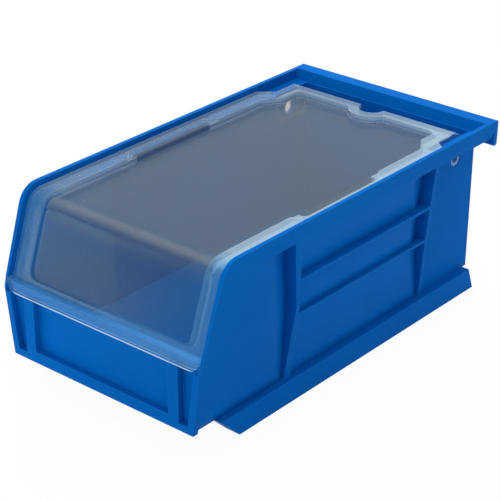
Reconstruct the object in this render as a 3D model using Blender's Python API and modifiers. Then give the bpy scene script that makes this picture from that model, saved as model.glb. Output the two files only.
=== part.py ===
"""Stackable hanging storage bin with a clear hinged lid.

The bin stands on two rails with its open, sloping front toward -Y and its hanging
lip toward +Y.  X runs across the bin, Z is up and the rails stand on Z = 0.
Sizes are in millimetres and are turned into metres where meshes are made.
"""

import math

import bmesh
import bpy
from mathutils import Matrix

# overall size
WIDTH = 104.8
LENGTH = 187.3
HEIGHT = 76.2
WALL = 2.0

# side view of the bin
FOOT = 9.2            # rail height, up to the underside of the floor
FRONT_EDGE = 37.8     # height where the slanted opening meets the front
SLANT_RUN = 13.7      # how far the slanted opening leans back
CORNER_RADIUS = 10.0  # between the rim and the slanted opening

# rim, ledge and hanging lip
BAND = 6.7            # height of the rim band
RIM_WALL = 2.0
RIM_BACK = 6.2        # thickness of the rim over the hanging lip
BACK_WALL = 7.0       # back wall set in from the back of the lip
BACK_LEAN = 1.2
BACK_DRAFT = 0.5      # back wall thins by this toward its top
LIP_FLANGE = 2.6
LIP_DROP = 11.0
LIP_ROUND = 0.8
LIP_SLOT_RISE = 2.2   # how far the slot of the lip rises above the band
LIP_ROOT = 0.3        # flange thins at its root, so that a louvre lies flat on it
LIP_SEAT = 0.5        # seat of the louvre ends this far under the band

# side walls
KNEE = 42.0           # height where the flank starts to lean in
KNEE_IN = 0.8
TOE_IN = 5.0
COLUMN_IN = 6.8       # plain rear wall, set in from the band
FIN = 1.8             # two upright fins frame the side panel
FIN_FRONT_HIGH = 52.6  # front fin under the band, at the knee and at the foot
FIN_FRONT_KNEE = 54.4
FIN_FRONT_FOOT = 51.8
FIN_REAR_HIGH = 44.6  # rear fin, measured from the back
FIN_REAR_KNEE = 48.6
FIN_REAR_FOOT = 46.4
RAMP_SLOPE = 0.44     # walls turn in toward the foot of each fin
SHELF = 1.3           # two level shelves between the fins
STEP_HIGH = 53.2      # heights of their upper faces
STEP_LOW = 38.4
STEP_DEEP = 3.6
BAR_PROUD = 1.0
BAR_DEEP = 2.4
PANEL_IN = 0.4
DIP_RISE = 5.4        # flank turns in above the rail over this height
DIP_IN = 1.6

# rails
RAIL_OUT = 2.4        # set in from the band
RAIL_WIDTH = 6.5
RAIL_KEY = 0.8        # rail let into the floor
RAIL_FRONT = 12.7     # front end of the rail's upper edge, from the front
RAIL_SLANT = 10.4
RAIL_BACK = 8.5
RAIL_BACK_SLANT = 3.5

# front wall
RECESS = 3.0          # depth of the label recess between the ribs
FRONT_RIB = 5.0       # the two front ribs
SIDE_RECESS = 4.6     # narrow recess outside each rib, at its foot
SILL = 14.2           # upper edge of the rail under the label
CORNER_POST = 2.6     # front edge of each side wall, seen from the front

# lid
LID_DROP = 2.2        # lid face under the rim
LID_THICK = 1.9
GAP = 0.3
SIDE_GAP = 0.4
LIP_HEIGHT = 5.8      # front lip of the lid
LIP_THICK = 1.8
LIP_HANG = 1.6        # front lip reaches this far under the slanted opening
LIP_CORNER = 5.0
PAN_CLEAR = 0.5       # between the sunk panels and the side walls
PAN_DEEP = 2.8
PAN_THICK = 1.1
PAN_ROUND = 3.0
PAN_FRONT = 24.0      # ends of the top panel, from the front and the back
PAN_BACK = 23.0
NECK_CLEAR = 3.9      # between the narrow end of the panel and the ears
PAN_NECK_START = 33.5
PAN_NECK_FULL = 41.5
PLATE_MARGIN = 3.0    # shallow plates beside the top panel, in from the lid's edge
PLATE_DEEP = 0.8
PLATE_BACK = 76.0
PLATE_LENGTH = 44.0
PLATE_TAPER = 7.0
WINDOW_LOW = 6.5      # sunk front panel, its ends measured along the slant
WINDOW_HIGH = 7.0
NOTCH = 6.0           # thumb notch in the rear edge
NOTCH_RIM = 4.5       # flat rim round the notch

# hinge
HINGE_DROP = 12.5     # axis under the rim
HINGE_TAIL = 2.5      # lid carried on behind the axis
HINGE_CLEAR = 1.0
BOSS_RADIUS = 3.0
BORE_RADIUS = 2.1
EAR_THICK = 1.7
EAR_DROP = 4.4
EAR_HEAD = 13.5       # ear length in front of the axis, at its top
EAR_FOOT = 8.0
SHOULDER = 15.4       # full lid width starts this far in front of the axis
SHOULDER_IN = 10.2    # and the narrow tail ends here

MM = 0.001
HALF = WIDTH / 2
FRONT = -LENGTH / 2
BACK = LENGTH / 2
BIG = 20.0
ARC_STEPS = 8

SLANT_ANGLE = math.atan2(SLANT_RUN, HEIGHT - FRONT_EDGE)
RIM_IN = HALF - RIM_WALL
LEDGE = LID_DROP + LID_THICK + GAP
BAND_LOW = HEIGHT - BAND
RUN_OUT = HEIGHT - BAND / 2
COLUMN = HALF - COLUMN_IN
FLOOR_TOP = FOOT + WALL
FRONT_IN = FRONT + RECESS + WALL
LID_TOP = HEIGHT - LID_DROP
LID_LOW = LID_TOP - LID_THICK
HINGE_Z = HEIGHT - HINGE_DROP
SWING = math.hypot(HINGE_TAIL, LID_TOP - HINGE_Z)
HINGE_Y = BACK - BACK_WALL - WALL - HINGE_CLEAR - SWING
LID_HALF = RIM_IN - SIDE_GAP
EAR_OUT = COLUMN - WALL - SIDE_GAP
PAN_LOW = LID_TOP - PAN_DEEP - PAN_THICK
LIP_LOW = FRONT_EDGE - LIP_HANG
PAN_HALF = COLUMN - WALL - PAN_CLEAR - PAN_THICK
PAN_NECK = EAR_OUT - EAR_THICK - NECK_CLEAR - PAN_THICK
PLATE_HALF = LID_HALF - PLATE_MARGIN
RIB_OUT = HALF - TOE_IN - CORNER_POST - SIDE_RECESS
RIB_IN = RIB_OUT - FRONT_RIB
LEAD = 0.1            # a cut starts this far outside the face it leaves


def flank(z):
    """Half width of the outer side wall at height z."""
    if z >= KNEE:
        return HALF - KNEE_IN * (RUN_OUT - z) / (RUN_OUT - KNEE)
    return HALF - KNEE_IN - (TOE_IN - KNEE_IN) * (KNEE - z) / (KNEE - FOOT)


def between(z, foot, knee, high):
    """Value at height z of a line through its values at the foot, the knee and the band."""
    if z >= KNEE:
        return knee + (high - knee) * (min(z, BAND_LOW) - KNEE) / (BAND_LOW - KNEE)
    return knee + (foot - knee) * (KNEE - max(z, FOOT)) / (KNEE - FOOT)


def fin_front(z):
    return FRONT + between(z, FIN_FRONT_FOOT, FIN_FRONT_KNEE, FIN_FRONT_HIGH)


def fin_rear(z):
    return BACK - between(z, FIN_REAR_FOOT, FIN_REAR_KNEE, FIN_REAR_HIGH)


def rim_line(inset):
    """Rim, rounded corner and slanted opening in side view, moved inward by inset."""
    top = HEIGHT - inset
    shift = inset / math.cos(SLANT_ANGLE)
    corner = FRONT + SLANT_RUN + shift - inset * math.tan(SLANT_ANGLE)
    radius = CORNER_RADIUS - inset
    turn = math.pi / 2 - SLANT_ANGLE
    back_off = radius * math.tan(turn / 2)
    centre = (corner + back_off, top - radius)
    points = []
    for i in range(ARC_STEPS + 1):
        a = math.pi / 2 + turn * i / ARC_STEPS
        points.append((centre[0] + radius * math.cos(a), centre[1] + radius * math.sin(a)))
    return points


def slant_y(z, inset):
    """Y of the slanted opening at height z, moved inward by inset."""
    return FRONT + (z - FRONT_EDGE) * math.tan(SLANT_ANGLE) + inset / math.cos(SLANT_ANGLE)


def on_slant(distance, inset):
    """Point (y, z) a distance up the slanted opening, moved inward by inset."""
    y = FRONT + distance * math.sin(SLANT_ANGLE) + inset * math.cos(SLANT_ANGLE)
    z = FRONT_EDGE + distance * math.cos(SLANT_ANGLE) - inset * math.sin(SLANT_ANGLE)
    return (y, z)


def rounded(points, radius, steps=5):
    """Outline with each corner turned into an arc of that radius."""
    outline = []
    for i, (px, py) in enumerate(points):
        arms = []
        for qx, qy in (points[i - 1], points[(i + 1) % len(points)]):
            length = math.hypot(qx - px, qy - py)
            arms.append(((qx - px) / length, (qy - py) / length))
        (ax, ay), (bx, by) = arms
        half = math.acos(ax * bx + ay * by) / 2
        reach = math.hypot(ax + bx, ay + by) * math.sin(half)
        cx, cy = px + (ax + bx) * radius / reach, py + (ay + by) * radius / reach
        along = radius / math.tan(half)
        start = math.atan2(py + ay * along - cy, px + ax * along - cx)
        stop = math.atan2(py + by * along - cy, px + bx * along - cx)
        sweep = (stop - start + math.pi) % (2 * math.pi) - math.pi
        for k in range(steps + 1):
            a = start + sweep * k / steps
            outline.append((cx + radius * math.cos(a), cy + radius * math.sin(a)))
    return outline


def new_collection(name):
    collection = bpy.data.collections.new(name)
    bpy.context.scene.collection.children.link(collection)
    return collection


def finish_mesh(name, bm, collection):
    bmesh.ops.recalc_face_normals(bm, faces=bm.faces)
    mesh = bpy.data.meshes.new(name)
    bm.to_mesh(mesh)
    bm.free()
    obj = bpy.data.objects.new(name, mesh)
    collection.objects.link(obj)
    return obj


def prism(name, outline, axis, start, end, collection):
    """Extrude an outline along X, Y or Z; its points are the two other axes in order."""
    bm = bmesh.new()
    verts = []
    for a, b in outline:
        if axis == "X":
            verts.append(bm.verts.new((start * MM, a * MM, b * MM)))
        elif axis == "Y":
            verts.append(bm.verts.new((a * MM, start * MM, b * MM)))
        else:
            verts.append(bm.verts.new((a * MM, b * MM, start * MM)))
    face = bm.faces.new(verts)
    grown = bmesh.ops.extrude_face_region(bm, geom=[face])
    moved = [g for g in grown["geom"] if isinstance(g, bmesh.types.BMVert)]
    step = (end - start) * MM
    offset = {"X": (step, 0, 0), "Y": (0, step, 0), "Z": (0, 0, step)}[axis]
    bmesh.ops.translate(bm, verts=moved, vec=offset)
    return finish_mesh(name, bm, collection)


def slant_prism(name, outline, start, end, collection):
    """Extrude an outline of (x, distance up the slant) square to the slanted opening."""
    bm = bmesh.new()
    verts = []
    for x, distance in outline:
        y, z = on_slant(distance, start)
        verts.append(bm.verts.new((x * MM, y * MM, z * MM)))
    grown = bmesh.ops.extrude_face_region(bm, geom=[bm.faces.new(verts)])
    moved = [g for g in grown["geom"] if isinstance(g, bmesh.types.BMVert)]
    (y0, z0), (y1, z1) = on_slant(0.0, start), on_slant(0.0, end)
    bmesh.ops.translate(bm, verts=moved, vec=(0, (y1 - y0) * MM, (z1 - z0) * MM))
    return finish_mesh(name, bm, collection)


def loft(name, sections, collection):
    """Extrude a plan outline upward through sections, each a height and an outline."""
    bm = bmesh.new()
    z, outline = sections[0]
    verts = [bm.verts.new((x * MM, y * MM, z * MM)) for x, y in outline]
    base = face = bm.faces.new(verts)
    for z, outline in sections[1:]:
        grown = bmesh.ops.extrude_face_region(bm, geom=[face])
        if face is not base:
            bmesh.ops.delete(bm, geom=[face], context="FACES_ONLY")
        face = [g for g in grown["geom"] if isinstance(g, bmesh.types.BMFace)][0]
        for vert, (x, y) in zip(face.verts, outline):
            vert.co = (x * MM, y * MM, z * MM)
    bmesh.ops.triangulate(bm, faces=bm.faces)
    return finish_mesh(name, bm, collection)


def rod(name, radius, x0, x1, y, z, collection, segments=32):
    bm = bmesh.new()
    bmesh.ops.create_cone(bm, cap_ends=True, segments=segments, radius1=radius * MM,
                          radius2=radius * MM, depth=(x1 - x0) * MM)
    for vert in bm.verts:
        along, across, up = vert.co.z, vert.co.x, vert.co.y
        vert.co = (along + (x0 + x1) / 2 * MM, across + y * MM, up + z * MM)
    return finish_mesh(name, bm, collection)


def post(name, radius, x, y, z0, z1, collection, segments=40):
    bm = bmesh.new()
    bmesh.ops.create_cone(bm, cap_ends=True, segments=segments, radius1=radius * MM,
                          radius2=radius * MM, depth=(z1 - z0) * MM)
    bmesh.ops.translate(bm, verts=bm.verts, vec=(x * MM, y * MM, (z0 + z1) / 2 * MM))
    return finish_mesh(name, bm, collection)


def mirrored(obj):
    mirror = obj.modifiers.new("Mirror", "MIRROR")
    mirror.use_axis = (True, False, False)
    mirror.use_mirror_merge = False
    return obj


def boolean(target, tool, operation):
    step = target.modifiers.new(tool.name, "BOOLEAN")
    step.operation = operation
    step.object = tool
    tool.hide_render = True
    tool.display_type = "WIRE"


def cut(target, tool):
    boolean(target, tool, "DIFFERENCE")


def join(target, tool):
    boolean(target, tool, "UNION")


def material(name, colour, roughness, alpha=1.0):
    mat = bpy.data.materials.new(name)
    mat.use_nodes = True
    shader = mat.node_tree.nodes["Principled BSDF"]
    shader.inputs["Base Color"].default_value = (*colour, 1.0)
    shader.inputs["Roughness"].default_value = roughness
    shader.inputs["Metallic"].default_value = 0.0
    shader.inputs["Alpha"].default_value = alpha
    return mat


def make_bin(parts, tools):
    lip_low = HEIGHT - LIP_DROP
    slot_top = BAND_LOW + LIP_SLOT_RISE
    profile = [(BACK, HEIGHT)] + rim_line(0.0)
    profile += [(FRONT, FRONT_EDGE), (FRONT, FOOT)]
    profile += [(BACK - BACK_WALL - BACK_LEAN, FOOT), (BACK - BACK_WALL, BAND_LOW)]
    slot = BACK_WALL - LIP_FLANGE
    for i in range(1, 5):
        a = math.pi / 2 * i / 4
        profile.append((BACK - BACK_WALL + slot * math.sin(a) * 0.94,
                        BAND_LOW + LIP_SLOT_RISE * (1 - math.cos(a))))
    profile += [(BACK - LIP_FLANGE + LIP_ROOT, slot_top - LIP_ROOT),
                (BACK - LIP_FLANGE, BAND_LOW - LIP_SEAT),
                (BACK - LIP_FLANGE, lip_low + LIP_ROUND),
                (BACK - LIP_FLANGE + LIP_ROUND, lip_low),
                (BACK - LIP_ROUND, lip_low), (BACK, lip_low + LIP_ROUND)]
    body = prism("bin_body", profile, "X", -HALF, HALF, parts)

    far = HALF + BIG
    slot_mid = BACK - (BACK_WALL + LIP_FLANGE) / 2

    # everything outside the leaning flank, which runs out into the rim band
    top = RUN_OUT + 1.0
    outside = [(flank(top), top), (flank(KNEE), KNEE), (flank(FOOT), FOOT),
               (flank(FOOT), FOOT - BIG), (far, FOOT - BIG), (far, top)]
    cut(body, mirrored(prism("flank_cut", outside, "Y", FRONT - BIG, BACK + BIG, tools)))

    # plain rear wall behind the rear fin, and the ramp down to the front fin
    ramp = (far - COLUMN) / RAMP_SLOPE
    heights = (FOOT - WALL, KNEE, BAND_LOW)
    sections = []
    for z in heights:
        edge = fin_rear(z) + FIN
        sections.append((z, [(COLUMN, slot_mid), (COLUMN, edge), (far, edge), (far, slot_mid)]))
    cut(body, mirrored(loft("column_cut", sections, tools)))
    sections = []
    for z in heights:
        edge = fin_front(z)
        sections.append((z, [(COLUMN, edge), (far, edge - ramp), (far, edge)]))
    cut(body, mirrored(loft("groove_cut", sections, tools)))

    # three panels between the fins, each leaning in toward the shelf under it
    bay_front = FRONT + FIN_FRONT_KNEE + FIN

    def panel(name, rows):
        sections = []
        for z, depth in rows:
            wide = max(flank(max(z, FOOT)) - depth, COLUMN + LEAD)
            edge = fin_rear(z)
            turn = edge - (wide - COLUMN) / RAMP_SLOPE
            sections.append((z, [(wide, bay_front), (wide, turn), (COLUMN, edge), (far, edge),
                                 (far, bay_front)]))
        cut(body, mirrored(loft(name, sections, tools)))

    rise = BAND_LOW - STEP_HIGH
    panel("pocket_cut", [(STEP_HIGH, STEP_DEEP), (STEP_HIGH + rise * 0.3, STEP_DEEP * 0.62),
                         (STEP_HIGH + rise * 0.65, STEP_DEEP * 0.2), (BAND_LOW, -LEAD)])
    under = STEP_HIGH - SHELF
    panel("bar_cut", [(STEP_LOW, BAR_DEEP), (STEP_LOW + (under - STEP_LOW) * 0.4, BAR_PROUD * 1.2),
                      (under, BAR_PROUD)])
    panel("panel_cut", [(FOOT - 1.0, DIP_IN), (FOOT, DIP_IN), (FOOT + DIP_RISE, PANEL_IN),
                        (STEP_LOW - SHELF, PANEL_IN)])

    # foot of the front panel
    brow = FOOT + DIP_RISE
    slope = (flank(brow) - flank(FOOT) + DIP_IN) / DIP_RISE
    dip = [(flank(brow) + LEAD, brow + LEAD / slope), (flank(FOOT) - DIP_IN - slope, FOOT - 1.0),
           (far, FOOT - 1.0), (far, brow + LEAD / slope)]
    cut(body, mirrored(prism("dip_cut", dip, "Y", FRONT + CORNER_POST, fin_front(FOOT) - LEAD, tools)))

    # inside of the bin, which follows the ramps and fins of the side walls
    bay_in = min(flank(STEP_HIGH) - STEP_DEEP, flank(STEP_LOW) - BAR_DEEP) - WALL * 0.9
    column_in = COLUMN - WALL
    back_in = BACK - BACK_WALL - WALL
    sections = []
    for z in (FLOOR_TOP, KNEE, HEIGHT - LEDGE + 1.0):
        share = max(0.0, (KNEE - z) / (KNEE - FOOT))
        bay = max(bay_in - share * (TOE_IN - KNEE_IN - DIP_IN), column_in + LEAD)
        front_half = flank(min(z, BAND_LOW)) - WALL * 1.1
        lean = BACK_LEAN * (BAND_LOW - z) / (BAND_LOW - FOOT) if z < BAND_LOW else -BACK_DRAFT
        front, rear = fin_front(z), fin_rear(z)
        turn = FIN / 2
        right = [(column_in, back_in - lean), (column_in, rear + turn),
                 (bay, rear - turn - (bay - column_in) / RAMP_SLOPE),
                 (bay, front + FIN + WALL + (bay - column_in)), (column_in, front + turn),
                 (column_in, front - turn),
                 (front_half, front - turn - (front_half - column_in) / RAMP_SLOPE),
                 (front_half, FRONT_IN)]
        left = [(-x, y) for x, y in reversed(right)]
        sections.append((z, right + left))
    cut(body, loft("inside_cut", sections, tools))

    # step in the rim that the lid and the rails of a bin above sit on
    sill = LIP_LOW - GAP
    wall_top = sill + LIP_HEIGHT - LID_THICK - GAP
    groove_back = FRONT + RECESS - 0.5
    rim_foot = back_in + BACK_DRAFT + GAP
    lean = (BACK - RIM_BACK - rim_foot) / LEDGE
    step = [(BACK - RIM_BACK + lean * BIG, HEIGHT + BIG), (rim_foot, HEIGHT - LEDGE)]
    step += rim_line(LEDGE)
    step += [(slant_y(wall_top, LEDGE), wall_top), (groove_back, wall_top),
             (groove_back, sill), (FRONT - BIG, sill), (FRONT - BIG, HEIGHT + BIG)]
    cut(body, prism("rim_cut", step, "X", -RIM_IN, RIM_IN, tools))

    # front wall: label recess between two ribs, and a narrow recess outside each
    top = sill + 1.0
    deep = FRONT + RECESS
    label = [(-RIB_IN, FRONT - BIG), (RIB_IN, FRONT - BIG), (RIB_IN, deep), (-RIB_IN, deep)]
    cut(body, prism("label_cut", label, "Z", SILL, top, tools))
    side_low, side_high = flank(FOOT) - CORNER_POST, flank(top) - CORNER_POST
    sections = []
    for z, edge in ((SILL - 2.0, side_low), (top, side_high)):
        sections.append((z, [(RIB_OUT, FRONT - BIG), (edge, FRONT - BIG), (edge, deep),
                             (RIB_OUT, deep)]))
    cut(body, mirrored(loft("side_recess_cut", sections, tools)))

    # hinge holes
    cut(body, rod("hinge_cut", BOSS_RADIUS + GAP, -far, far, HINGE_Y, HINGE_Z, tools))

    # rails under the floor
    rail_top = FOOT + RAIL_KEY
    rail = [(FRONT + RAIL_FRONT, rail_top), (FRONT + RAIL_FRONT + RAIL_SLANT, 0.0),
            (BACK - RAIL_BACK, 0.0), (BACK - RAIL_BACK - RAIL_BACK_SLANT, rail_top)]
    inner = HALF - RAIL_OUT - RAIL_WIDTH
    tool = prism("rail_join", rail, "X", inner, HALF - RAIL_OUT, tools)
    join(body, mirrored(tool))
    return body


def make_lid(parts, tools):
    rear = HINGE_Y + HINGE_TAIL
    lip_face = FRONT + GAP
    lip_back = lip_face + LIP_THICK
    lip_top = LIP_LOW + LIP_HEIGHT
    under = lip_top - LID_THICK
    profile = [(rear, LID_TOP)] + rim_line(LID_DROP)
    profile += [(slant_y(lip_top, LID_DROP), lip_top), (lip_face, lip_top), (lip_face, LIP_LOW),
                (lip_back, LIP_LOW), (lip_back, under),
                (slant_y(under, LID_DROP + LID_THICK), under)]
    profile += list(reversed(rim_line(LID_DROP + LID_THICK))) + [(rear, LID_LOW)]
    lid = prism("clear_lid", profile, "X", -LID_HALF, LID_HALF, parts)

    # sunk top panel, as a pan under the lid with its hollow cut from above
    def pan_plan(grow):
        end = BACK - PAN_BACK + grow
        reach = NOTCH + NOTCH_RIM - grow
        chord = math.sqrt(reach ** 2 - (rear - end) ** 2)
        right = [(PAN_NECK + grow, end), (PAN_NECK + grow, BACK - PAN_NECK_START),
                 (PAN_HALF + grow, BACK - PAN_NECK_FULL), (PAN_HALF + grow, FRONT + PAN_FRONT - grow)]
        outline = rounded(right + [(-x, y) for x, y in reversed(right)], PAN_ROUND)
        spread = math.asin(chord / reach)
        for i in range(11):
            a = spread * (i / 5 - 1)
            outline.append((reach * math.sin(a), rear - reach * math.cos(a)))
        return outline

    join(lid, prism("pan_join", pan_plan(PAN_THICK), "Z", PAN_LOW, LID_LOW + LID_THICK / 2, tools))
    hollow = LID_TOP - PAN_DEEP
    cut(lid, prism("pan_cut", pan_plan(0.0), "Z", hollow, LID_TOP + BIG, tools))

    # shallow plates beside the panel
    near = BACK - PLATE_BACK
    far = near - PLATE_LENGTH
    plate = [(PAN_HALF - 1.0, near + PLATE_TAPER), (PLATE_HALF, near), (PLATE_HALF, far),
             (PAN_HALF - 1.0, far - PLATE_TAPER)]
    cut(lid, mirrored(prism("plate_cut", plate, "Z", LID_TOP - PLATE_DEEP, LID_TOP + BIG, tools)))

    # sunk front panel, square to the slant
    slant = (HEIGHT - FRONT_EDGE) / math.cos(SLANT_ANGLE)
    base, head = WINDOW_LOW, slant - WINDOW_HIGH
    low = LID_DROP + PAN_DEEP
    def window(grow):
        half = PAN_HALF + grow
        return rounded([(-half, base - grow), (half, base - grow), (half, head + grow),
                        (-half, head + grow)], PAN_ROUND + grow)

    join(lid, slant_prism("window_join", window(PAN_THICK), LID_DROP + LID_THICK / 2,
                          low + PAN_THICK, tools))
    cut(lid, slant_prism("window_cut", window(0.0), -BIG, low, tools))

    # narrow tail between the ears, with the thumb notch
    slope = (SHOULDER - SHOULDER_IN) / (LID_HALF - EAR_OUT)
    start = HINGE_Y - SHOULDER_IN
    side = [(EAR_OUT, start), (HALF, start - (HALF - EAR_OUT) * slope), (HALF, BACK),
            (EAR_OUT, BACK)]
    cut(lid, mirrored(prism("tail_cut", side, "Z", PAN_LOW - BIG, LID_TOP + BIG, tools)))
    cut(lid, post("notch_cut", NOTCH, 0.0, rear, PAN_LOW - BIG, LID_TOP + BIG, tools))

    # rounded lower corners of the front lip
    edge = LID_HALF - LIP_CORNER
    corner = [(edge, LIP_LOW - BIG)]
    for i in range(7):
        a = math.pi / 2 * i / 6
        corner.append((edge + LIP_CORNER * math.sin(a), LIP_LOW + LIP_CORNER * (1 - math.cos(a))))
    corner += [(HALF, LIP_LOW + LIP_CORNER), (HALF, LIP_LOW - BIG)]
    cut(lid, mirrored(prism("corner_cut", corner, "Y", FRONT - BIG, lip_back + 1.0, tools)))

    # ears and hollow bosses
    round_back = SWING - 0.3
    top = LID_LOW + LID_THICK / 2 - HINGE_Z
    ear = [(-EAR_HEAD, top), (-EAR_FOOT, -EAR_DROP)]
    start = math.asin(-EAR_DROP / round_back)
    stop = math.asin(top / round_back)
    for i in range(9):
        a = start + (stop - start) * i / 8
        ear.append((round_back * math.cos(a), round_back * math.sin(a)))
    ear = [(HINGE_Y + y, HINGE_Z + z) for y, z in ear]
    join(lid, mirrored(prism("ear_join", ear, "X", EAR_OUT - EAR_THICK, EAR_OUT, tools)))
    join(lid, mirrored(rod("boss_join", BOSS_RADIUS, EAR_OUT - EAR_THICK / 2, COLUMN - GAP,
                           HINGE_Y, HINGE_Z, tools)))
    cut(lid, rod("bore_cut", BORE_RADIUS, -HALF - BIG, HALF + BIG, HINGE_Y, HINGE_Z, tools, 24))
    return lid


def main():
    for obj in list(bpy.data.objects):
        bpy.data.objects.remove(obj)
    parts = new_collection("storage_bin")
    tools = new_collection("cutters")
    body = make_bin(parts, tools)
    body.data.materials.append(material("bin_blue", (0.0, 0.105, 0.38), 0.42))
    lid = make_lid(parts, tools)
    lid.data.materials.append(material("lid_clear", (0.62, 0.68, 0.75), 0.12, 0.45))

    # the lid turns about its own origin, which lies on the hinge axis
    axis = (0.0, HINGE_Y * MM, HINGE_Z * MM)
    lid.data.transform(Matrix.Translation([-c for c in axis]))
    lid.location = axis


main()
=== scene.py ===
import math
import bpy
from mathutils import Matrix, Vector


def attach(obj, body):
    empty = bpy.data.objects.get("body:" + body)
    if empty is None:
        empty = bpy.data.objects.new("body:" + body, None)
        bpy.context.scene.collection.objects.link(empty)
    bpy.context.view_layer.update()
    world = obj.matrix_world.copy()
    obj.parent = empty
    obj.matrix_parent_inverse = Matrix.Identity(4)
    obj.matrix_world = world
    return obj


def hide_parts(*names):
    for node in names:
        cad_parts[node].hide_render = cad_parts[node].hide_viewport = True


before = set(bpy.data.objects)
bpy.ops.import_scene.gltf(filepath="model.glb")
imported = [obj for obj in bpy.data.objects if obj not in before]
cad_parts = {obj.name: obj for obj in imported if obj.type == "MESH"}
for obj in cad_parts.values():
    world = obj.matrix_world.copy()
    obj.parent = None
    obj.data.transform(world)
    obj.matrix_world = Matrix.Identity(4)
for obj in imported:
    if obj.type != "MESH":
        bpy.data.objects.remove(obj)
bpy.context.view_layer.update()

print("frame loaded:", sorted(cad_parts))

scene = bpy.context.scene
scene.view_settings.view_transform = "Standard"


# small wrapper, so that shader sums read like sums
class Socket:
    def __init__(self, tree, out):
        self.tree = tree
        self.out = out

    def feed(self, socket, value):
        if isinstance(value, Socket):
            self.tree.links.new(value.out, socket)
        else:
            socket.default_value = value

    # sockets go by name, as in Base_Color, or by number, as in i0
    def node(self, kind, settings=None, output=0, **inputs):
        made = self.tree.nodes.new(kind)
        for key, value in (settings or {}).items():
            setattr(made, key, value)
        for key, value in inputs.items():
            name = int(key[1:]) if key[0] == "i" and key[1:].isdigit() else key.replace("_", " ")
            self.feed(made.inputs[name], value)
        return Socket(self.tree, made.outputs[output] if made.outputs else None)

    def sum(self, operation, *values, clamp=False):
        inputs = {"i" + str(number): value for number, value in enumerate(values)}
        return self.node("ShaderNodeMath", {"operation": operation, "use_clamp": clamp}, **inputs)

    def __add__(self, other):
        return self.sum("ADD", self, other)

    def __radd__(self, other):
        return self.sum("ADD", other, self)

    def __sub__(self, other):
        return self.sum("SUBTRACT", self, other)

    def __rsub__(self, other):
        return self.sum("SUBTRACT", other, self)

    def __mul__(self, other):
        return self.sum("MULTIPLY", self, other)

    def __rmul__(self, other):
        return self.sum("MULTIPLY", other, self)

    def __truediv__(self, other):
        return self.sum("DIVIDE", self, other)

    def __rtruediv__(self, other):
        return self.sum("DIVIDE", other, self)

    def held(self):
        return self.sum("ADD", self, 0.0, clamp=True)

    def ramp(self, low, high):
        return self.sum("DIVIDE", self - low, high - low, clamp=True)

    def size(self):
        return self.sum("ABSOLUTE", self)

    def above(self, limit):
        return self.sum("GREATER_THAN", self, limit)

    def below(self, limit):
        return self.sum("LESS_THAN", self, limit)

    def between(self, low, high):
        return self.above(low) * self.below(high)

    def most(self, other):
        return self.sum("MAXIMUM", self, other)


def newMaterial(name):
    material = bpy.data.materials.new(name)
    material.use_nodes = True
    material.node_tree.nodes.clear()
    start = Socket(material.node_tree, None)
    place = start.node("ShaderNodeTexCoord", output="Object")  # in metres
    return material, start, place


noiseMiddle = 0.5  # what a noise varies about


def noise(start, place, scale, detail, rough):
    return start.node("ShaderNodeTexNoise", Vector=place, Scale=scale, Detail=detail, Roughness=rough)


def blend(start, factor, first, second):
    return start.node("ShaderNodeMix", {"data_type": "RGBA"}, output=2, i0=factor, i6=first, i7=second)


def along(share, first, second):
    return first + share * (second - first)


# both plastics; span is how far a normal has to turn to count as an edge
edgeSetup = {"radius": 0.0004, "samples": 4, "span": (0.04, 0.22)}


# the rounded normal of a moulded corner, and how far it turns away from the flat one
def softEdge(start, setup):
    soft = start.node("ShaderNodeBevel", {"samples": setup["samples"]}, Radius=setup["radius"])
    flat = start.node("ShaderNodeNewGeometry", output="Normal")
    turn = start.node("ShaderNodeVectorMath", {"operation": "DOT_PRODUCT"}, output="Value", i0=soft, i1=flat)
    return soft, (1.0 - turn).ramp(*setup["span"])


# cloud, flow, grain and scuff are noises: scale, detail and roughness
blueSetup = {
    "colour": (0.0, 0.126, 0.485, 1.0),
    "deep": (0.0, 0.114, 0.45, 1.0),
    # pale colour of the edges: a painted highlight along the moulded edges, with some wear
    "edgeWearAndHighlight": (0.035, 0.27, 0.76, 1.0),
    "cloud": (22.0, 3.0, 0.5),
    "cloudSpan": (0.35, 0.65),
    "flow": (260.0, 4.0, 0.6),
    "grain": (2600.0, 2.0, 0.5),
    "edgeWearAndHighlightLeast": 0.35,  # least strength of the painted highlight and wear on an edge
    "edgeWearAndHighlightFlow": 0.5,  # what the flow adds to it
    "rough": 0.42,
    "roughFlow": 0.22,
    "edgeGloss": 0.08,
    "specular": 0.012,
    "bump": 0.35,
    "bumpDepth": 0.00002,
    "bumpFlow": 0.6,
}


def bluePlastic(setup):
    material, start, place = newMaterial("blueMouldedPlastic")
    cloud = noise(start, place, *setup["cloud"])
    grain = noise(start, place, *setup["grain"])
    flow = noise(start, place, *setup["flow"])
    soft, edge = softEdge(start, edgeSetup)
    colour = blend(start, cloud.ramp(*setup["cloudSpan"]), setup["colour"], setup["deep"])
    # painted highlight and wear along the edges, made patchy by the flow noise
    edgeWearAndHighlight = (edge * (setup["edgeWearAndHighlightLeast"] + setup["edgeWearAndHighlightFlow"] * flow)).held()
    colour = blend(start, edgeWearAndHighlight, colour, setup["edgeWearAndHighlight"])
    rough = setup["rough"] + (flow - noiseMiddle) * setup["roughFlow"] - edge * setup["edgeGloss"]
    bump = start.node("ShaderNodeBump", Strength=setup["bump"], Distance=setup["bumpDepth"],
                      Height=grain + flow * setup["bumpFlow"], Normal=soft)
    shader = start.node("ShaderNodeBsdfPrincipled", Base_Color=colour, Roughness=rough, Normal=bump,
                        Specular_IOR_Level=setup["specular"])
    start.node("ShaderNodeOutputMaterial", Surface=shader)
    return material


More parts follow.
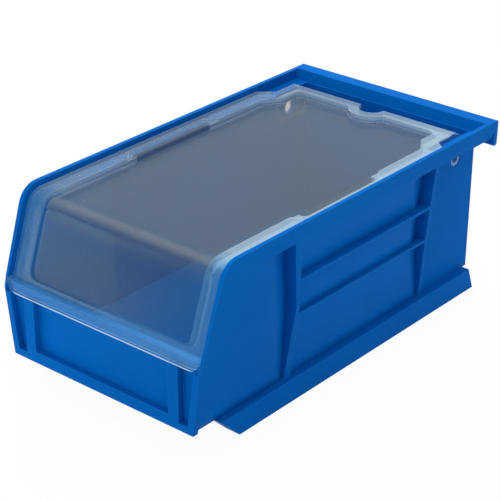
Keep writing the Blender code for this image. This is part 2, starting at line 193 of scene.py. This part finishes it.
lidSetup = {
    "tint": {
        "panel": (0.092, 0.140, 0.158, 1.0),
        "window": (0.045, 0.195, 0.215, 1.0),
        "flange": (0.36, 0.52, 0.62, 1.0),
        "apron": (0.15, 0.47, 0.70, 1.0),  # flange round the front window
        # painted highlight along the bend
        "bend": (0.20, 0.23, 0.23, 1.0),
        # white of the edges: a painted highlight
        "edge": (0.95, 0.98, 1.0, 1.0),
        "outline": (0.03, 0.04, 0.06, 1.0),  # painted shade along the steps of the shallow plates
    },
    # how much each part of the lid hides what is behind it
    "veil": {
        "panel": 0.30,
        "window": 0.08,
        # painted light and shade: the left flange is kept clear as if in shade, the right one pale as if lit
        "shadedLeftFlange": 0.17,
        "litRightFlange": 0.47,
        "apron": 0.08,
        "apronRightLight": 0.04,  # painted light, growing toward the right
        # thicker veil for the painted highlight along the bend
        "bend": 0.14,
        "wall": 0.45,
        "ear": 0.11,
        "boss": 0.03,
        "outline": 0.65,
        # thicker veil for the painted highlight on the edges
        "edge": 0.92,
        "cloud": 0.04,
        "scuff": 0.012,
        "glance": 0.12,  # on a surface seen edge on
    },
    # where those parts lie, in metres; lean in degrees
    "spot": {
        "panelHalf": 0.0421,
        "panelTop": 0.0715,
        "wallFoot": 0.0705,
        "wallTilt": (0.6, 0.3),  # upward part of the normal
        "plateHalf": 0.0453,
        "plateTop": 0.0736,
        "plateEnds": (-0.0268, 0.0181),
        "plateWall": 0.7,  # share of the pale wall that a plate takes away
        "bendRise": (-0.079, -0.068),
        "bendSplit": -0.070,
        # middle and reach of the painted highlight band along the bend
        "bendHighlightMiddle": -0.0740,
        "bendHighlightReach": 0.0045,
        "slantFoot": (-0.09365, 0.0378),
        "slantLean": 19.635,
        "windowSunk": 0.0046,
        "lipFoot": (0.0380, 0.0370),
        "lipFootHighlight": (0.0368, 0.0363),
        "lipFace": (-0.0926, -0.0930),
        "hinge": (0.0730509, 0.0637),
        "bossRadius": 0.0031,
        "bossEnd": 0.0449,
        "earInside": 0.0413,
        "earFront": 0.0575,
        "earTop": 0.0738,
    },
    "frontHighlightShare": 0.15,  # share of the painted edge highlight that stays on the slanted front
    "edgeHighlightTint": 0.8,  # how far an edge takes the white tint of the painted highlight
    "cloud": (30.0, 3.0, 0.5),
    "scuff": (420.0, 5.0, 0.65),
    "grain": (3000.0, 2.0, 0.5),
    "rough": 0.16,
    "roughScuff": 0.05,
    "refraction": 1.49,
    "specular": 0.5,
    "bump": 0.012,
    "bumpDepth": 0.000006,
}


# values from 0 to 1 that tell the parts of the lid from each other
def lidMasks(start, place, spot):
    x, y, z = [start.node("ShaderNodeSeparateXYZ", output=axis, Vector=place) for axis in range(3)]
    away = x.size()
    lean = math.radians(spot["slantLean"])
    footY, footZ = spot["slantFoot"]
    inward = (y - footY) * math.cos(lean) - (z - footZ) * math.sin(lean)  # depth behind the slanted opening
    within = away.below(spot["panelHalf"])
    sunkTop = within * z.below(spot["panelTop"]) * y.above(spot["bendSplit"])
    sunkFront = within * inward.above(spot["windowSunk"]) * y.below(spot["bendSplit"])
    plate = away.below(spot["plateHalf"]) * y.between(*spot["plateEnds"]) * z.below(spot["plateTop"])
    over = y.ramp(*spot["bendRise"])
    hingeY, hingeZ = spot["hinge"]
    fromHinge = (y - hingeY) * (y - hingeY) + (z - hingeZ) * (z - hingeZ)
    earWide = away.between(spot["earInside"], spot["bossEnd"])
    facing = start.node("ShaderNodeTexCoord", output="Normal")
    tilt = start.node("ShaderNodeSeparateXYZ", output=2, Vector=facing).size()
    upright = tilt.ramp(*spot["wallTilt"]) * z.above(spot["wallFoot"])
    # painted light that grows toward the right
    across = x.ramp(-spot["panelHalf"], spot["panelHalf"])
    return {
        "plate": plate,
        "sunk": (sunkTop + sunkFront + plate).held(),
        "over": over,  # from the front, over the bend, to the top
        # band of the painted highlight along the bend
        "bend": (1.0 - (y - spot["bendHighlightMiddle"]).size() / spot["bendHighlightReach"]).held(),
        "boss": fromHinge.below(spot["bossRadius"] ** 2) * earWide,
        "ear": y.above(spot["earFront"]) * z.below(spot["earTop"]) * earWide,
        "wall": upright * over * (1.0 - plate * spot["plateWall"]),
        "across": across * across,  # painted light, growing from left to right
        "edgeHighlightZone": over.most(z.ramp(*spot["lipFoot"])),  # where the painted edge highlight is white
        "lipFootHighlight": z.ramp(*spot["lipFootHighlight"]) * y.ramp(*spot["lipFace"]),  # painted highlight along the lower edge of the lip
    }


def lidColour(start, tint, masks, edge, outline, edgeHighlightTint):
    flat = blend(start, masks["over"], tint["apron"], tint["flange"])
    hollow = blend(start, masks["over"], tint["window"], tint["panel"])
    hollow = blend(start, masks["bend"], hollow, tint["bend"])  # painted highlight along the bend
    colour = blend(start, (masks["sunk"] * (1.0 - masks["wall"])).held(), flat, hollow)
    # painted highlight: white tint on the edges
    colour = blend(start, (edge * edgeHighlightTint).held(), colour, tint["edge"])
    return blend(start, outline, colour, tint["outline"])


def lidVeil(veils, masks, edge, outline, haze):
    over, across = masks["over"], masks["across"]
    # painted highlight along the bend, also laid on the right part of the flat flange
    bend = masks["bend"] * veils["bend"]
    hollow = along(over, veils["window"], veils["panel"]) + bend
    # painted light: the flange haze grows from the left to the right
    flange = along(across, veils["shadedLeftFlange"], veils["litRightFlange"])
    flat = along(over, veils["apron"], flange) + across * (bend + (1.0 - over) * veils["apronRightLight"])
    veil = along(masks["sunk"], flat, hollow) + haze
    for part in ("wall", "ear", "boss"):
        veil = along(masks[part], veil, veils[part])
    veil = along(outline, veil, veils["outline"])
    return along(edge, veil, veils["edge"]).held()


def clearPlastic(setup):
    material, start, place = newMaterial("clearMouldedPlastic")
    veils = setup["veil"]
    cloud = noise(start, place, *setup["cloud"])
    grain = noise(start, place, *setup["grain"])
    scuff = noise(start, place, *setup["scuff"])
    glance = start.node("ShaderNodeFresnel", IOR=setup["refraction"])
    haze = (cloud - noiseMiddle) * veils["cloud"] + (scuff - noiseMiddle) * veils["scuff"]
    haze = haze + glance * veils["glance"]
    masks = lidMasks(start, place, setup["spot"])
    soft, edge = softEdge(start, edgeSetup)
    # painted shade: a dark line along the edges of the shallow plates
    outline = edge * masks["plate"]
    # the edge mask becomes the painted highlight: full on the top, weak on the slanted front, none on the
    # hinge boss and plates, plus the lip's foot line
    edge = edge * along(masks["edgeHighlightZone"], setup["frontHighlightShare"], 1.0)
    edge = edge * (1.0 - masks["boss"]) * (1.0 - masks["plate"])
    edge = edge.most(masks["lipFootHighlight"])
    colour = lidColour(start, setup["tint"], masks, edge, outline, setup["edgeHighlightTint"])
    rough = setup["rough"] + (scuff - noiseMiddle) * setup["roughScuff"]
    veil = lidVeil(veils, masks, edge, outline, haze)
    bump = start.node("ShaderNodeBump", Strength=setup["bump"], Distance=setup["bumpDepth"], Height=grain,
                      Normal=soft)
    shader = start.node("ShaderNodeBsdfPrincipled", Base_Color=colour, Roughness=rough, Alpha=veil,
                        Normal=bump, Specular_IOR_Level=setup["specular"])
    start.node("ShaderNodeOutputMaterial", Surface=shader)
    return material


blue = bluePlastic(blueSetup)
clear = clearPlastic(lidSetup)
print("materials made")


# merging reaches in metres, angles in degrees
meshSetup = {
    "copyMerge": 0.00001,
    "copySliver": 0.00003,
    "merge": 0.00002,
    "sliver": 0.00002,
    "quadFlat": 1.0,
    "quadShape": 60.0,
    "smooth": 24.0,
}


def pick(piece):
    bpy.ops.object.select_all(action="DESELECT")
    piece.select_set(True)
    bpy.context.view_layer.objects.active = piece


def merged(name, nodeName, material, setup):
    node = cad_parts[nodeName]
    mesh = node.data.copy()
    mesh.transform(node.matrix_world)
    mesh.materials.clear()
    mesh.materials.append(material)
    piece = bpy.data.objects.new(name, mesh)
    scene.collection.objects.link(piece)
    pick(piece)
    bpy.ops.object.mode_set(mode="EDIT")
    bpy.ops.mesh.select_all(action="SELECT")
    bpy.ops.mesh.remove_doubles(threshold=setup["copyMerge"])
    bpy.ops.mesh.dissolve_degenerate(threshold=setup["copySliver"])
    bpy.ops.mesh.mark_sharp(clear=True)
    bpy.ops.mesh.customdata_custom_splitnormals_clear()
    bpy.ops.object.mode_set(mode="OBJECT")
    return piece


def smoothed(piece, setup):
    pick(piece)
    bpy.ops.object.mode_set(mode="EDIT")
    bpy.ops.mesh.select_all(action="SELECT")
    bpy.ops.mesh.remove_doubles(threshold=setup["merge"])
    bpy.ops.mesh.dissolve_degenerate(threshold=setup["sliver"])
    bpy.ops.mesh.tris_convert_to_quads(face_threshold=math.radians(setup["quadFlat"]),
                                       shape_threshold=math.radians(setup["quadShape"]))
    bpy.ops.object.mode_set(mode="OBJECT")
    bpy.ops.object.shade_smooth_by_angle(angle=math.radians(setup["smooth"]), keep_sharp_edges=False)
    level = piece.modifiers.new("flatFaces", "WEIGHTED_NORMAL")  # keeps the flats flat
    level.keep_sharp = True
    bpy.ops.object.modifier_apply(modifier=level.name)
    print(piece.name, "has", len(piece.data.polygons), "faces")


binShell = merged("binShell", "bin_body", blue, meshSetup)
smoothed(binShell, meshSetup)
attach(binShell, "bin")
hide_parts("bin_body")

# bars are given by their distances from the middle of the bend, in metres, and a turn in degrees
lidShape = {
    "bend": (-0.0729007, 0.0662),  # middle of the bend in side view
    "steps": 12,
    "backEnd": -0.0660,
    "weld": 0.000001,
    "fill": {"under": 0.003902, "over": 0.0065, "half": 0.043095, "turn": 64.0, "downSlant": 0.0001},
    "hollow": {"under": 0.005002, "over": 0.0140, "half": 0.041995, "turn": 70.365, "downSlant": 0.0045},
}


# a bar that follows the lid over its front bend
def bendBar(name, shape, sizes):
    under, over = sizes["under"], sizes["over"]
    bendY, bendZ = shape["bend"]
    lean = math.radians(90.0 - sizes["turn"])
    bpy.ops.object.select_all(action="DESELECT")
    bpy.ops.mesh.primitive_plane_add(size=1.0, rotation=(math.radians(90.0), 0.0, 0.0))
    bar = bpy.context.active_object
    bar.name = name
    bar.scale = (2.0 * sizes["half"], over - under, 1.0)
    bar.location = (0.0, shape["backEnd"], bendZ + (under + over) / 2)
    bpy.ops.object.transform_apply(location=True, rotation=True, scale=True)
    bpy.ops.object.mode_set(mode="EDIT")
    bpy.ops.mesh.select_all(action="SELECT")
    bpy.ops.mesh.extrude_region_move(TRANSFORM_OT_translate={"value": (0.0, bendY - shape["backEnd"], 0.0)})
    bpy.ops.mesh.spin(steps=shape["steps"], angle=-math.radians(sizes["turn"]), center=(0.0, bendY, bendZ),
                      axis=(1.0, 0.0, 0.0))
    bpy.ops.mesh.extrude_region_move(TRANSFORM_OT_translate={
        "value": (0.0, -math.sin(lean) * sizes["downSlant"], -math.cos(lean) * sizes["downSlant"])})
    bpy.ops.mesh.select_all(action="SELECT")
    bpy.ops.mesh.remove_doubles(threshold=shape["weld"])
    bpy.ops.mesh.normals_make_consistent(inside=False)
    bpy.ops.object.mode_set(mode="OBJECT")
    return bar


def carve(piece, tool, operation):
    pick(piece)
    step = piece.modifiers.new(tool.name, "BOOLEAN")
    step.operation = operation
    step.solver = "EXACT"
    step.object = tool
    bpy.ops.object.modifier_apply(modifier=step.name)
    bpy.data.objects.remove(tool)


# the sunk panel runs on over the bend into the front window
lidShell = merged("lidShell", "clear_lid", clear, meshSetup)
carve(lidShell, bendBar("bendFill", lidShape, lidShape["fill"]), "UNION")
carve(lidShell, bendBar("bendHollow", lidShape, lidShape["hollow"]), "DIFFERENCE")
smoothed(lidShell, meshSetup)
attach(lidShell, "lid")
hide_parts("clear_lid")
lidShell.visible_shadow = False  # clear plastic lets the light in


lightSetup = {
    "overhead": {"place": (0.05, -0.02, 0.85), "aim": (0.0, 0.0, 0.05), "size": (0.75, 0.75), "power": 4.6},
    "front": {"place": (-0.10, -0.70, 0.06), "aim": (0.0, 0.0, 0.04), "size": (0.70, 0.10), "power": 1.35,
              "mirrored": False},
    "corner": {"place": (-0.80, -0.66, 0.07), "aim": (0.0, -0.05, 0.05), "size": (0.60, 0.12), "power": 1.0},
    "rear": {"place": (-0.72, 0.42, 0.52), "aim": (0.0, 0.0, 0.06), "size": (0.40, 0.30), "power": 9.0,
             "mirrored": False},
    "right": {"place": (0.70, -0.10, 0.06), "aim": (0.0, 0.0, 0.04), "size": (0.70, 0.10), "power": 1.0},
}


def addLamp(name, setup):
    data = bpy.data.lights.new(name, "AREA")
    data.shape = "RECTANGLE"
    data.size, data.size_y = setup["size"]
    data.energy = setup["power"]
    lamp = bpy.data.objects.new(name, data)
    lamp.location = setup["place"]
    reach = Vector(setup["aim"]) - Vector(setup["place"])
    lamp.rotation_euler = reach.to_track_quat("-Z", "Y").to_euler()
    lamp.visible_glossy = setup.get("mirrored", True)
    scene.collection.objects.link(lamp)


for lampName, lampSetup in lightSetup.items():
    addLamp(lampName + "Softbox", lampSetup)


# 1 for what is seen straight, in a reflection or through a surface, and 0 for light that falls on a piece
def seenRays(start):
    seen = start.node("ShaderNodeLightPath", output="Is Camera Ray")
    gloss = start.node("ShaderNodeLightPath", output="Is Glossy Ray")
    through = start.node("ShaderNodeLightPath", output="Is Transmission Ray")
    return seen.most(gloss).most(through)


worldSetup = {"light": 0.30, "seen": 1.0}

world = bpy.data.worlds.new("studio")
scene.world = world
world.use_nodes = True
sky = world.node_tree.nodes["Background"]
sky.inputs["Color"].default_value = (1.0, 1.0, 1.0, 1.0)
skyStart = Socket(world.node_tree, None)
skyStart.feed(sky.inputs["Strength"], along(seenRays(skyStart), worldSetup["light"], worldSetup["seen"]))
print("lights and world set")


floorSetup = {"size": 3.0, "shade": 0.80, "paper": (40.0, 3.0, 0.5), "paperSpread": 0.02, "white": 0.96}


def addFloor(setup):
    bpy.ops.object.select_all(action="DESELECT")
    bpy.ops.mesh.primitive_plane_add(size=setup["size"], location=(0.0, 0.0, 0.0))
    floor = bpy.context.active_object
    floor.name = "studioFloor"
    material, start, place = newMaterial("paleFloor")
    paper = noise(start, place, *setup["paper"])
    shade = setup["shade"] + (paper - noiseMiddle) * setup["paperSpread"]
    grey = start.node("ShaderNodeCombineColor", Red=shade, Green=shade, Blue=shade)
    matte = start.node("ShaderNodeBsdfDiffuse", Color=grey)
    white = start.node("ShaderNodeEmission", Strength=1.0)
    lit = start.node("ShaderNodeMixShader", i0=seenRays(start) * setup["white"], i1=matte, i2=white)
    start.node("ShaderNodeOutputMaterial", Surface=lit)
    floor.data.materials.append(material)


addFloor(floorSetup)
print("floor laid")


cameraSetup = {
    "place": (0.410929, -0.489925, 0.355764),
    "pitch": 63.312,
    "turn": 40.32,
    "lens": 125.372,
    "sensor": 36.0,
    "clip": (0.05, 20.0),
}


def addCamera(setup):
    data = bpy.data.cameras.new("studioCamera")
    data.lens = setup["lens"]
    data.sensor_width = setup["sensor"]
    data.clip_start, data.clip_end = setup["clip"]
    camera = bpy.data.objects.new("studioCamera", data)
    camera.location = setup["place"]
    camera.rotation_euler = (math.radians(setup["pitch"]), 0.0, math.radians(setup["turn"]))
    scene.collection.objects.link(camera)
    scene.camera = camera


addCamera(cameraSetup)
print("camera in place")
